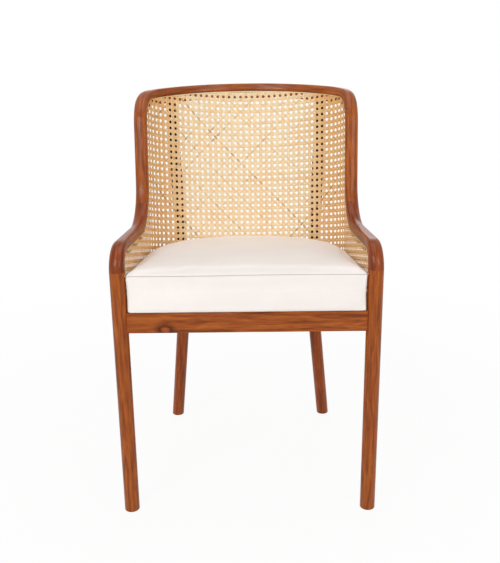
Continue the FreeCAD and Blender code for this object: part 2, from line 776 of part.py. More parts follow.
# Origin on the floor in the middle of the footprint
box = Part.makeCompound(list(pieces.values())).optimalBoundingBox(False, False)
to_origin = Vector(-(box.XMin + box.XMax) / 2, -(box.YMin + box.YMax) / 2, -box.ZMin)
print("size", round(box.XLength, 2), round(box.YLength, 2), round(box.ZLength, 2))
print("leg axis y", round(to_origin.y, 3))

os.makedirs("parts", exist_ok=True)
for name, shape in sorted(pieces.items()):
    placed = shape.translated(to_origin)
    print(name, "solids", len(placed.Solids), "valid", placed.isValid(), round(placed.Volume / 1000, 1))
    placed.exportStep("parts/" + name + ".step")
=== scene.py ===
import math
from functools import partial

import bmesh
import bpy
import numpy as np
from mathutils import Matrix, Vector, kdtree


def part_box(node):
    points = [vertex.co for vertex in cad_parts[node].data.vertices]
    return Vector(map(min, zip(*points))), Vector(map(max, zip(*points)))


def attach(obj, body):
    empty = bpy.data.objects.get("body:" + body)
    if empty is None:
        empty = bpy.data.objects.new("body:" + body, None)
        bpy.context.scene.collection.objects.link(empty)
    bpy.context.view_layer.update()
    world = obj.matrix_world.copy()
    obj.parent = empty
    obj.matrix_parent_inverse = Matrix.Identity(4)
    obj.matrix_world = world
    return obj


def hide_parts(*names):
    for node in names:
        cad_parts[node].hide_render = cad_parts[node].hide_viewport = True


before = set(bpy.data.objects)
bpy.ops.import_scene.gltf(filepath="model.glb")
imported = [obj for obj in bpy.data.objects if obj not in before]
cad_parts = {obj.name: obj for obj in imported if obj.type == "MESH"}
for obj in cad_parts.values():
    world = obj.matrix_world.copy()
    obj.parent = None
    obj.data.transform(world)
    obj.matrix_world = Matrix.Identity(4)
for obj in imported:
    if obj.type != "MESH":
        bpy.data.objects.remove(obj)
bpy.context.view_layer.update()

# Cane-back dining armchair: finishes, cane, reed and cushion round the fixed frame.
# Lengths are metres, and mm turns the sizes below into metres.
mm = 0.001
scene = bpy.context.scene


def linear(hexColour):
    parts = [int(hexColour[i:i + 2], 16) / 255 for i in (1, 3, 5)]
    return [c / 12.92 if c <= 0.04045 else ((c + 0.055) / 1.055) ** 2.4 for c in parts] + [1.0]


def addNode(tree, kind, inputs=None, ramp=None, **settings):
    node = tree.nodes.new(kind)
    for name, value in settings.items():
        setattr(node, name, value)
    for key, value in (inputs or {}).items():
        if isinstance(value, bpy.types.NodeSocket):
            tree.links.new(value, node.inputs[key])
        else:
            node.inputs[key].default_value = value
    for i, (place, colour) in enumerate(ramp or []):
        stops = node.color_ramp.elements
        stop = stops[i] if i < len(stops) else stops.new(place)
        stop.position = place
        stop.color = colour
    return node


def newMaterial(name):
    material = bpy.data.materials.new(name)
    material.use_nodes = True
    material.node_tree.nodes.clear()
    return material, partial(addNode, material.node_tree)


def newTree(name, inputs):
    tree = bpy.data.node_groups.new(name, "GeometryNodeTree")
    for label, kind in inputs.items():
        tree.interface.new_socket(label, in_out="INPUT", socket_type="NodeSocket" + kind)
    tree.interface.new_socket("Geometry", in_out="OUTPUT", socket_type="NodeSocketGeometry")
    add = partial(addNode, tree)
    return tree, add, add("NodeGroupInput").outputs


def finishTree(add, geometry, material):
    real = add("GeometryNodeRealizeInstances", {0: geometry})
    dressed = add("GeometryNodeSetMaterial", {0: real.outputs[0], "Material": material})
    add("NodeGroupOutput", {0: dressed.outputs[0]})


def growPiece(name, mesh, tree, values):
    piece = bpy.data.objects.new(name, mesh)
    scene.collection.objects.link(piece)
    modifier = piece.modifiers.new(tree.name, "NODES")
    modifier.node_group = tree
    for item in tree.interface.items_tree:
        if item.in_out == "INPUT" and item.name in values:
            modifier[item.identifier] = values[item.name]
    makePlain(piece)
    return piece


def makePlain(piece):
    bpy.context.view_layer.update()
    graph = bpy.context.evaluated_depsgraph_get()
    mesh = bpy.data.meshes.new_from_object(piece.evaluated_get(graph), depsgraph=graph)
    piece.modifiers.clear()
    piece.data = mesh


def settle(piece, slotName, *nodes):
    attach(piece, "root")
    if nodes:
        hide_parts(*nodes)


# Form of the barrel back, as the frame was built; millimetres and degrees
backForm = {
    "legSpan": 475.0, "backDepth": 412.0, "sideTaper": 2.5, "cornerRadius": 100.0, "backRadius": 275.0,
    "backLean": 8.0, "armJointZ": 495.0, "railTop": 418.0, "caneBottom": 404.0,
    "kneeRadius": 31.0, "sweepRadius": 88.0, "postSetback": 259.0,
    "crestCornerRadius": 54.0, "crestZ": 812.8, "crestCrown": 12.0,
    "caneMiddle": 10.5,         # leg axes to the middle of the weave, towards the sitter
    "reedMiddle": 9.1, "reedRim": -2.5,     # middle of the reed in its groove
    "reedFoot": 0.5,            # the reed starts this far above the seat rails
    "sample": 2.0,              # spacing of the points worked out along the back
}
legLow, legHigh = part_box("front_leg_right")
legAxisY = (legLow.y + legHigh.y) / 2 / mm
lean = math.radians(backForm["backLean"])
leanSlope = math.tan(lean)
halfSpan = backForm["legSpan"] / 2
backR = backForm["backRadius"]
backCentreY = backForm["backDepth"] - backR


def solvePlan(degrees, radius):     # a straight side, a corner arc and the back arc, all tangent
    start = math.radians(degrees)
    reach = halfSpan - radius / math.cos(start)
    a = math.tan(start) ** 2 + 1
    b = -2 * reach * math.tan(start) - 2 * backCentreY
    c = reach ** 2 + backCentreY ** 2 - (backR - radius) ** 2
    y = (-b + math.sqrt(b * b - 4 * a * c)) / (2 * a)
    x = reach - math.tan(start) * y
    end = math.atan2(y - backCentreY, x)
    toCorner = (y + radius * math.sin(start)) / math.cos(start)
    toBack = toCorner + radius * (end - start)
    return {"start": start, "radius": radius, "x": x, "y": y, "end": end, "toCorner": toCorner,
            "toBack": toBack, "toMiddle": toBack + backR * (math.pi / 2 - end)}


backPlan = solvePlan(backForm["sideTaper"], backForm["cornerRadius"])
sMiddle = backPlan["toMiddle"]


def planAt(s, out=0.0, plan=backPlan):      # from the right leg to the left one, and straight on past them
    s = np.asarray(s, float)
    side = np.where(s > plan["toMiddle"], -1.0, 1.0)
    t = np.where(s > plan["toMiddle"], 2 * plan["toMiddle"] - s, s)
    onSide, onArc = t <= plan["toCorner"], t > plan["toBack"]
    angle = np.where(onSide, plan["start"], plan["start"] + (t - plan["toCorner"]) / plan["radius"])
    angle = np.where(onArc, plan["end"] + (t - plan["toBack"]) / backR, angle)
    nx, ny = np.cos(angle), np.sin(angle)
    x = np.where(onSide, halfSpan - t * math.sin(plan["start"]), plan["x"] + plan["radius"] * nx)
    y = np.where(onSide, t * math.cos(plan["start"]), plan["y"] + plan["radius"] * ny)
    x = np.where(onArc, backR * nx, x)
    y = np.where(onArc, backCentreY + backR * ny, y)
    return side * (x + nx * out), y + ny * out + legAxisY, side * nx, ny


def onBack(s, z):
    x, y = planAt(s)[:2]
    return np.stack([x, y + (z - backForm["armJointZ"]) * leanSlope, z + 0 * x], -1)


def arcRun(centre, radius, start, end):
    count = max(2, int(abs(math.radians(end - start)) * radius / backForm["sample"]))
    a = np.radians(np.linspace(start, end, count + 1))
    return np.stack([centre[0] + radius * np.cos(a), centre[1] + radius * np.sin(a)], -1)


def straightRun(a, b):
    count = max(2, int(math.dist(a, b) / backForm["sample"]))
    return np.linspace(a, b, count + 1)


def framePath():            # centreline of the bent frame, up one side, along the crest and down the other
    f = backForm
    knee = (f["kneeRadius"] * math.cos(lean), f["armJointZ"] + f["kneeRadius"] * math.sin(lean))
    level = knee[1] + f["kneeRadius"]
    sweep = (f["postSetback"] - f["sweepRadius"], level + f["sweepRadius"])
    r = f["crestCornerRadius"]
    half = sMiddle - f["postSetback"] - r
    crownR = (half ** 2 + f["crestCrown"] ** 2) / (2 * f["crestCrown"])
    crownZ = f["crestZ"] - crownR
    corner = (f["postSetback"] + r, crownZ + math.sqrt((crownR - r) ** 2 - half ** 2))
    crownStart = math.degrees(math.atan2(corner[1] - crownZ, -half))
    runs = [arcRun(knee, f["kneeRadius"], 180 + f["backLean"], 90),
            straightRun((knee[0], level), (sweep[0], level)),
            arcRun(sweep, f["sweepRadius"], -90, 0),
            straightRun((f["postSetback"], sweep[1]), (f["postSetback"], corner[1])),
            arcRun(corner, r, 180, crownStart),
            arcRun((sMiddle, crownZ), crownR, crownStart, 90)]
    flat = np.concatenate([runs[0]] + [run[1:] for run in runs[1:]])
    step = np.gradient(flat, axis=0)
    nx, ny = planAt(flat[:, 0])[2:]
    place = onBack(flat[:, 0], flat[:, 1])
    outward = np.stack([nx, ny, -ny * leanSlope], -1)
    along = np.stack([-ny, nx, 0 * nx], -1) * step[:, :1] + np.array([0, leanSlope, 1.0]) * step[:, 1:]
    legZ = np.arange(f["railTop"] + f["reedFoot"], f["armJointZ"], f["sample"])
    one = np.ones((len(legZ), 1))
    legOut = np.array([math.cos(backPlan["start"]), math.sin(backPlan["start"]), 0.0])
    place = np.concatenate([np.stack([halfSpan + 0 * legZ, legAxisY + 0 * legZ, legZ], -1), place])
    outward = np.concatenate([one * legOut, outward])
    along = np.concatenate([one * np.array([0, 0, 1.0]), along])
    outward /= np.linalg.norm(outward, axis=1)[:, None]
    along /= np.linalg.norm(along, axis=1)[:, None]
    rim = np.cross(outward, along)
    turned = np.array([-1.0, 1.0, 1.0])
    both = [np.concatenate([part, (part * turned)[-2::-1]]) for part in (place, -outward, rim)]
    back = (along * np.array([1.0, -1.0, -1.0]))[-2::-1]
    both.append(np.concatenate([along, back]))
    gaps = np.linalg.norm(np.diff(both[0], axis=0), axis=1)
    return both + [np.concatenate([[0], np.cumsum(gaps)])]


pathPlace, pathIn, pathRim, pathAlong, pathLength = framePath()
print("frame path", len(pathPlace), "points,", round(pathLength[-1]), "mm")


# Camera, worked back from the legs, rails and crest
cameraForm = {"place": (14.4, -1221.2, 811.0), "pitch": 0.26909, "turn": 0.0065, "roll": -0.01276,
              "focal": 687.78, "imageHeight": 563, "sensor": 36.0, "clipEnd": 50}


def makeCamera():
    f = cameraForm
    data = bpy.data.cameras.new("camera")
    data.sensor_width = f["sensor"]
    data.lens = f["focal"] / f["imageHeight"] * f["sensor"]
    data.clip_end = f["clipEnd"]
    camera = bpy.data.objects.new("camera", data)
    scene.collection.objects.link(camera)
    aim = Matrix.Rotation(f["turn"], 3, "Z") @ Matrix.Rotation(-f["pitch"], 3, "X")
    right, ahead, up = aim.col[0], aim.col[1], aim.col[2]
    right, up = (right * math.cos(f["roll"]) + up * math.sin(f["roll"]),
                 up * math.cos(f["roll"]) - right * math.sin(f["roll"]))
    camera.matrix_world = Matrix((right, up, -ahead)).transposed().to_4x4()
    camera.location = Vector(f["place"]) * mm + Vector((0, legAxisY * mm, 0))
    scene.camera = camera


makeCamera()


# Materials

# Teak, turned or bent, oiled and lacquered satin: long figure, fine dark pores, a soft sheen
legTeak = {"name": "teakLegs", "pale": "#ba6623", "mid": "#9c4d18", "dark": "#6a2f0c", "rough": 0.34}
# Rear legs: the leg teak a little darker all over, painted shade for legs that stand back in less light
rearTeak = {"name": "teakRearLegs", "pale": "#b85f1e", "mid": "#984612", "dark": "#5f2609", "rough": 0.36,
            "paintedShade": "#807468", "paintedShadeZ": 0.44,     # painted shade: above the seat, the face behind the cane is darker
            "paintedShadeFrom": -0.6, "paintedShadeTo": -0.8}      # where it turns far enough to the front
armTeak = {"name": "teakArms", "pale": "#ac5624", "mid": "#893d15", "dark": "#531f08", "rough": 0.3}
crestTeak = {"name": "teakCrest", "pale": "#bd6b30", "mid": "#9b4f21", "dark": "#622c0f", "rough": 0.3}
teakGrain = {"figure": 8 * mm, "figureLong": 0.1, "ring": 9 * mm, "ringLong": 0.03, "ringShare": 0.1,
             "figureWarp": 0.9, "ringWarp": 5.0, "pore": 1.3 * mm, "poreLong": 0.05, "poreFrom": 0.3,
             "poreTo": 0.48, "poreShade": 0.72, "poreBump": 0.15 * mm, "bumpShare": 0.5}
teakFinish = {"shine": 0.1, "coat": 0.24, "coatRough": 0.16, "smoother": 0.05, "rougher": 0.08}
bandPeriod = 2 * math.pi / 20       # length of one band of the wave texture at scale 1


def makeTeak(look, knot=None):
    material, add = newMaterial(look["name"] if knot is None else look["name"] + "Knot")
    g, t = teakGrain, teakFinish
    grain = add("ShaderNodeAttribute", attribute_name="grain").outputs["Vector"]
    long = {key: add("ShaderNodeMapping", {"Vector": grain, "Scale": (1, 1, g[key])}).outputs[0]
            for key in ("figureLong", "ringLong", "poreLong")}
    figure = add("ShaderNodeTexNoise", {"Vector": long["figureLong"], "Scale": 1 / g["figure"],
                                        "Detail": 4.0, "Distortion": g["figureWarp"]})
    rings = add("ShaderNodeTexWave", {"Vector": long["ringLong"], "Scale": bandPeriod / g["ring"],
                                      "Distortion": g["ringWarp"], "Detail": 3.0, "Detail Scale": 1.2},
                wave_type="RINGS", rings_direction="Z", wave_profile="SAW")
    pores = add("ShaderNodeTexNoise", {"Vector": long["poreLong"], "Scale": 1 / g["pore"], "Detail": 2.0})
    blend = add("ShaderNodeMix", {0: g["ringShare"], 2: figure.outputs[0], 3: rings.outputs["Fac"]})
    body = add("ShaderNodeValToRGB", {0: blend.outputs[0]},
               ramp=[(0.25, linear(look["dark"])), (0.75, linear(look["pale"])),
                     (0.5, linear(look["mid"]))])
    poreMask = add("ShaderNodeMapRange", {0: pores.outputs[0], 1: g["poreFrom"], 2: g["poreTo"],
                                          3: g["poreShade"], 4: 1.0})
    colour = add("ShaderNodeMix", {0: 1.0, 6: body.outputs[0], 7: poreMask.outputs[0]},
                 data_type="RGBA", blend_type="MULTIPLY").outputs[2]
    if knot is not None:
        colour = addKnot(add, colour, knot)
    # painted shade on the stile faces behind the cane
    if "paintedShade" in look:
        colour = addPaintedShade(add, colour, look)
    bump = add("ShaderNodeBump", {"Height": poreMask.outputs[0], "Strength": g["bumpShare"],
                                  "Distance": g["poreBump"]})
    gloss = add("ShaderNodeMapRange", {0: figure.outputs[0], 3: look["rough"] - t["smoother"],
                                       4: look["rough"] + t["rougher"]})
    skin = add("ShaderNodeBsdfPrincipled", {"Base Color": colour, "Roughness": gloss.outputs[0],
                                            "Normal": bump.outputs[0], "IOR": 1.5,
                                            "Specular IOR Level": t["shine"], "Coat Weight": t["coat"],
                                            "Coat Roughness": t["coatRough"]})
    add("ShaderNodeOutputMaterial", {0: skin.outputs[0]})
    return material


def addKnot(add, colour, knot):
    place = add("ShaderNodeTexCoord").outputs["Object"]
    local = add("ShaderNodeMapping", {"Vector": place, "Location": knot["place"],
                                      "Scale": knot["stretch"]}, vector_type="TEXTURE").outputs[0]
    ripple = add("ShaderNodeTexNoise", {"Vector": local, "Scale": knot["ripple"], "Detail": 2.0})
    reach = add("ShaderNodeVectorMath", {0: local}, operation="LENGTH").outputs["Value"]
    shaken = add("ShaderNodeMath", {0: ripple.outputs[0], 1: knot["shake"], 2: reach},
                 operation="MULTIPLY_ADD")
    ring = add("ShaderNodeValToRGB", {0: shaken.outputs[0]}, ramp=knot["ramp"])
    return add("ShaderNodeMix", {0: 1.0, 6: colour, 7: ring.outputs[0]}, data_type="RGBA",
               blend_type="MULTIPLY").outputs[2]


# Painted shade: darkens the front face of the stiles above the seat, where the cane in front of them keeps
# the light off
def addPaintedShade(add, colour, look):
    facing = add("ShaderNodeNewGeometry").outputs["Normal"]
    ahead = add("ShaderNodeSeparateXYZ", {0: facing}).outputs[1]
    ahead = add("ShaderNodeMapRange", {0: ahead, 1: look["paintedShadeFrom"], 2: look["paintedShadeTo"]}).outputs[0]
    place = add("ShaderNodeTexCoord").outputs["Object"]
    height = add("ShaderNodeSeparateXYZ", {0: place}).outputs[2]
    above = add("ShaderNodeMath", {0: height, 1: look["paintedShadeZ"]}, operation="GREATER_THAN").outputs[0]
    share = add("ShaderNodeMath", {0: ahead, 1: above}, operation="MULTIPLY").outputs[0]
    return add("ShaderNodeMix", {0: share, 6: colour, 7: linear(look["paintedShade"])}, data_type="RGBA",
               blend_type="MULTIPLY").outputs[2]


# Poplar plywood and beech blocks, sawn and left bare: pale, straight fine grain, no shine
bareWood = {"name": "bareBeech", "pale": "#d9b98c", "dark": "#b98f5f", "grain": 3 * mm, "grainLong": 0.05,
            "bump": 0.2 * mm, "rough": 0.7}


def makeBareWood():
    material, add = newMaterial(bareWood["name"])
    place = add("ShaderNodeTexCoord").outputs["Object"]
    long = add("ShaderNodeMapping", {"Vector": place, "Scale": (bareWood["grainLong"], 1, 1)}).outputs[0]
    grain = add("ShaderNodeTexNoise", {"Vector": long, "Scale": 1 / bareWood["grain"], "Detail": 4.0})
    body = add("ShaderNodeValToRGB", {0: grain.outputs[0]},
               ramp=[(0.3, linear(bareWood["dark"])), (0.7, linear(bareWood["pale"]))])
    bump = add("ShaderNodeBump", {"Height": grain.outputs[0], "Strength": 0.3,
                                  "Distance": bareWood["bump"]})
    skin = add("ShaderNodeBsdfPrincipled", {"Base Color": body.outputs[0], "Roughness": bareWood["rough"],
                                            "Normal": bump.outputs[0]})
    add("ShaderNodeOutputMaterial", {0: skin.outputs[0]})
    return material


# Rattan cane, split and shaved: straw skin with a faint gloss, some strands browner
canePaint = {"pale": "#fff0cc", "mid": "#fee5ba", "deep": "#f8d09a", "brown": "#c6aa80",
             "brownShare": 0.15, "step": 0.02, "blotch": 30 * mm, "blotchShare": 0.25, "fibre": 0.9 * mm,
             "fibreFrom": 0.3, "fibreTo": 0.6, "fibreShade": 0.9, "bump": 0.1 * mm, "rough": 0.42,
             "shine": 0.25,
             "side": "#f8e0c0", "sideShadeFrom": 0.115, "sideShadeTo": 0.2}     # painted shade: a deeper straw round the sides, which get less light


def makeCane(name, brownShare):
    material, add = newMaterial(name)
    p = canePaint
    tone = add("ShaderNodeAttribute", attribute_name="strand").outputs["Fac"]
    place = add("ShaderNodeTexCoord").outputs["Object"]
    blotch = add("ShaderNodeTexNoise", {"Vector": place, "Scale": 1 / p["blotch"], "Detail": 2.0})
    fibre = add("ShaderNodeTexNoise", {"Vector": place, "Scale": 1 / p["fibre"], "Detail": 2.0})
    mixed = add("ShaderNodeMix", {0: p["blotchShare"], 2: tone, 3: blotch.outputs[0]})
    body = add("ShaderNodeValToRGB", {0: mixed.outputs[0]},
               ramp=[(max(0.0, brownShare - p["step"]), linear(p["brown"])), (0.95, linear(p["pale"])),
                     (brownShare + p["step"], linear(p["deep"])), (0.5, linear(p["mid"]))])
    streak = add("ShaderNodeMapRange", {0: fibre.outputs[0], 1: p["fibreFrom"], 2: p["fibreTo"],
                                        3: p["fibreShade"], 4: 1.0})
    colour = add("ShaderNodeMix", {0: 1.0, 6: body.outputs[0], 7: streak.outputs[0]}, data_type="RGBA",
                 blend_type="MULTIPLY")
    # Painted shade: the cane is tinted a deeper straw towards the sides, where less light reaches it
    across = add("ShaderNodeSeparateXYZ", {0: place}).outputs[0]
    across = add("ShaderNodeMath", {0: across}, operation="ABSOLUTE").outputs[0]
    sideShade = add("ShaderNodeMapRange", {0: across, 1: p["sideShadeFrom"], 2: p["sideShadeTo"]},
                interpolation_type="SMOOTHSTEP").outputs[0]
    colour = add("ShaderNodeMix", {0: sideShade, 6: colour.outputs[2], 7: linear(p["side"])}, data_type="RGBA",
                 blend_type="MULTIPLY")
    bump = add("ShaderNodeBump", {"Height": fibre.outputs[0], "Strength": 0.25, "Distance": p["bump"]})
    skin = add("ShaderNodeBsdfPrincipled", {"Base Color": colour.outputs[2], "Roughness": p["rough"],
                                            "Normal": bump.outputs[0], "Specular IOR Level": p["shine"]})
    add("ShaderNodeOutputMaterial", {0: skin.outputs[0]})
    return material


# Cotton canvas, plain woven and pulled tight: off-white, matt, threads just visible
canvasCloth = {"name": "cottonCanvas", "light": "#fbf5f0", "shade": "#f4ece6", "cloud": 120 * mm,
               "thread": 1.1 * mm, "threadShare": 0.3,      # real threads are 0.5 mm, drawn coarser to show
               "bump": 0.12 * mm, "rough": 0.85, "sheen": 0.05}


def makeCanvas():
    material, add = newMaterial(canvasCloth["name"])
    c = canvasCloth
    place = add("ShaderNodeTexCoord").outputs["Object"]
    weave = None
    for axis in "XYZ":
        threads = add("ShaderNodeTexWave", {"Vector": place, "Scale": bandPeriod / c["thread"],
                                            "Distortion": 0.6, "Detail": 1.0},
                      bands_direction=axis, wave_profile="SIN").outputs["Fac"]
        if weave is None:
            weave = threads
        else:
            weave = add("ShaderNodeMath", {0: weave, 1: threads}, operation="MULTIPLY").outputs[0]
    cloud = add("ShaderNodeTexNoise", {"Vector": place, "Scale": 1 / c["cloud"], "Detail": 3.0})
    mixed = add("ShaderNodeMix", {0: c["threadShare"], 2: cloud.outputs[0], 3: weave})
    body = add("ShaderNodeValToRGB", {0: mixed.outputs[0]},
               ramp=[(0.2, linear(c["shade"])), (0.6, linear(c["light"]))])
    bump = add("ShaderNodeBump", {"Height": weave, "Strength": 0.35, "Distance": c["bump"]})
    skin = add("ShaderNodeBsdfPrincipled", {"Base Color": body.outputs[0], "Roughness": c["rough"],
                                            "Normal": bump.outputs[0], "Sheen Weight": c["sheen"]})
    add("ShaderNodeOutputMaterial", {0: skin.outputs[0]})
    return material


# Polyester thread and the shadowed edge of a sewn seam
seamThread = {"name": "sewnSeam", "light": "#d9cfc8", "dark": "#b3a79f", "twist": 2.5 * mm, "rough": 0.8}


def makeSeam():
    material, add = newMaterial(seamThread["name"])
    place = add("ShaderNodeTexCoord").outputs["Object"]
    twist = add("ShaderNodeTexWave", {"Vector": place, "Scale": bandPeriod / seamThread["twist"]},
                bands_direction="DIAGONAL")
    body = add("ShaderNodeValToRGB", {0: twist.outputs["Fac"]},
               ramp=[(0.0, linear(seamThread["dark"])), (1.0, linear(seamThread["light"]))])
    skin = add("ShaderNodeBsdfPrincipled", {"Base Color": body.outputs[0],
                                            "Roughness": seamThread["rough"]})
    add("ShaderNodeOutputMaterial", {0: skin.outputs[0]})
    return material


# Zinc-plated steel screws: dull grey metal with a slight grain
zincScrew = {"name": "zincSteel", "light": "#c4c6c8", "dark": "#8f9396", "grain": 0.8 * mm, "rough": 0.35}


def makeZinc():
    material, add = newMaterial(zincScrew["name"])
    place = add("ShaderNodeTexCoord").outputs["Object"]
    grain = add("ShaderNodeTexNoise", {"Vector": place, "Scale": 1 / zincScrew["grain"]})
    body = add("ShaderNodeValToRGB", {0: grain.outputs[0]},
               ramp=[(0.35, linear(zincScrew["dark"])), (0.65, linear(zincScrew["light"]))])
    skin = add("ShaderNodeBsdfPrincipled", {"Base Color": body.outputs[0], "Metallic": 1.0,
                                            "Roughness": zincScrew["rough"]})
    add("ShaderNodeOutputMaterial", {0: skin.outputs[0]})
    return material


frontKnot = {"place": (-0.153, -0.234, 0.383), "stretch": (31 * mm, 80 * mm, 25 * mm), "ripple": 1.6,
             "shake": 0.3, "ramp": [(0.3, (1.2, 1.05, 0.9, 1)), (0.95, (1, 1, 1, 1)),
                                    (0.48, (0.25, 0.2, 0.18, 1)), (0.62, (0.55, 0.5, 0.46, 1))]}
teakLegs = makeTeak(legTeak)
teakRear = makeTeak(rearTeak)
teakArms = makeTeak(armTeak)
teakCrest = makeTeak(crestTeak)
teakRail = makeTeak(legTeak, frontKnot)
beech = makeBareWood()
caneSkin = makeCane("rattanCane", 0.0)
slantSkin = makeCane("rattanCaneSlant", canePaint["brownShare"])       # a few of the diagonals are browner
reedSkin = makeCane("rattanReed", 0.0)
canvas = makeCanvas()
seamSkin = makeSeam()
zinc = makeZinc()
print("materials made")


# Wood: copies of the solids that carry a grain attribute running along each piece
rearLegForm = {"footZ": 0.0, "bendZ": 0.372, "topZ": 0.795, "slice": 12 * mm}
woodMesh = {"weld": 0.002 * mm, "sharp": 32}        # degrees
grainShift = np.array([0.137, 0.071, 0.413])       # each piece is cut from another place in the plank


def grainAlongPath(v):
    tree = kdtree.KDTree(len(pathPlace))
    for i, p in enumerate(pathPlace * mm):
        tree.insert(p, i)
    tree.balance()
    near = np.array([tree.find(p)[1] for p in v])
    d = v - pathPlace[near] * mm
    return np.stack([(d * pathIn[near]).sum(1), (d * pathRim[near]).sum(1),
                     pathLength[near] * mm + (d * pathAlong[near]).sum(1)], -1)


def grainUpright(v):
    middle = (v.min(0) + v.max(0)) / 2
    return v - np.array([middle[0], middle[1], 0.0])


def grainSabre(v):          # rear leg: straight to the bend and straight on to the crest
    axis = []
    for z in (rearLegForm["footZ"], rearLegForm["bendZ"], rearLegForm["topZ"]):
        near = v[np.abs(v[:, 2] - z) < rearLegForm["slice"]]
        axis.append(np.append((near.min(0) + near.max(0))[:2] / 2, z))
    axis = np.array(axis)
    x = np.interp(v[:, 2], axis[:, 2], axis[:, 0])
    y = np.interp(v[:, 2], axis[:, 2], axis[:, 1])
    return np.stack([v[:, 0] - x, v[:, 1] - y, v[:, 2]], -1)


def grainAcross(v):
    return v[:, [1, 2, 0]]


def grainRound(v):          # seat rails that follow the plan
    s = np.arange(0, 2 * sMiddle, backForm["sample"])
    flat = np.stack(planAt(s)[:2], -1) * mm
    back = v[:, :2] - np.stack([0 * v[:, 2], (v[:, 2] - backForm["armJointZ"] * mm) * leanSlope], -1)
    near = ((back[:, None] - flat[None]) ** 2).sum(2).argmin(1)
    out = np.linalg.norm(back - flat[near], axis=1)
    return np.stack([out, v[:, 2], s[near] * mm], -1)


bothSides = ("_left", "_right")
woodRows = [
    ("front_leg", bothSides, teakLegs, "leg_wood", grainUpright),
    ("rear_leg", bothSides, teakRear, "leg_wood", grainSabre),
    ("side_post", bothSides, teakLegs, "leg_wood", grainAlongPath),
    ("arm", bothSides, teakArms, "arm_wood", grainAlongPath),
    ("crest_rail", [""], teakCrest, "arm_wood", grainAlongPath),
    ("front_rail", [""], teakRail, "leg_wood", grainAcross),
    ("side_rail", bothSides, teakLegs, "leg_wood", grainRound),
    ("rear_rail", [""], teakLegs, "leg_wood", grainRound),
]
woodPieces = {name + side: rest for name, sides, *rest in woodRows for side in sides}


def makeWood(node, place):
    material, slotName, grainOf = woodPieces[node]
    mesh = bpy.data.meshes.new(node + "_wood")
    work = bmesh.new()
    work.from_mesh(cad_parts[node].data)
    bmesh.ops.remove_doubles(work, verts=work.verts, dist=woodMesh["weld"])
    work.to_mesh(mesh)
    work.free()
    v = np.zeros(len(mesh.vertices) * 3)
    mesh.vertices.foreach_get("co", v)
    grain = grainOf(v.reshape(-1, 3)) + grainShift * (place + 1)
    layer = mesh.attributes.new("grain", "FLOAT_VECTOR", "POINT")
    layer.data.foreach_set("vector", grain.ravel())
    mesh.shade_smooth()
    mesh.set_sharp_from_angle(angle=math.radians(woodMesh["sharp"]))
    mesh.materials.clear()
    mesh.materials.append(material)
    piece = bpy.data.objects.new(node + "_wood", mesh)
    scene.collection.objects.link(piece)
    settle(piece, slotName, node)


for place, node in enumerate(woodPieces):
    makeWood(node, place)
print("wood pieces", len(woodPieces))

bareNodes = {"front_block_left": beech, "front_block_right": beech, "rear_block_left": beech,
             "rear_block_right": beech, "frame_dowels": beech, "rail_dowels": beech, "seat_board": beech,
             "block_screws": zinc, "seat_screws": zinc, "seat_spline": reedSkin}
for node, material in bareNodes.items():
    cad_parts[node].data.materials.clear()
    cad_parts[node].data.materials.append(material)


# Cane: six-way weave, worked flat on the developed back and then wrapped round it
weaveForm = {"pitch": 13.85 * mm, "rowPitch": 13.1 * mm, "pairGap": 1.95 * mm, "width": 3.35 * mm,
             "thick": 0.62 * mm, "sides": 6, "segment": 3.2 * mm, "wave": 0.74 * mm, "pairWave": 0.38 * mm,
             "rowHeight": 0.6025, "rise": 0.21, "jitter": 0.22 * mm, "seed": 7,
             "lead": 60.0, "overrun": 20.0, "search": 0.25, "footPoints": 200}


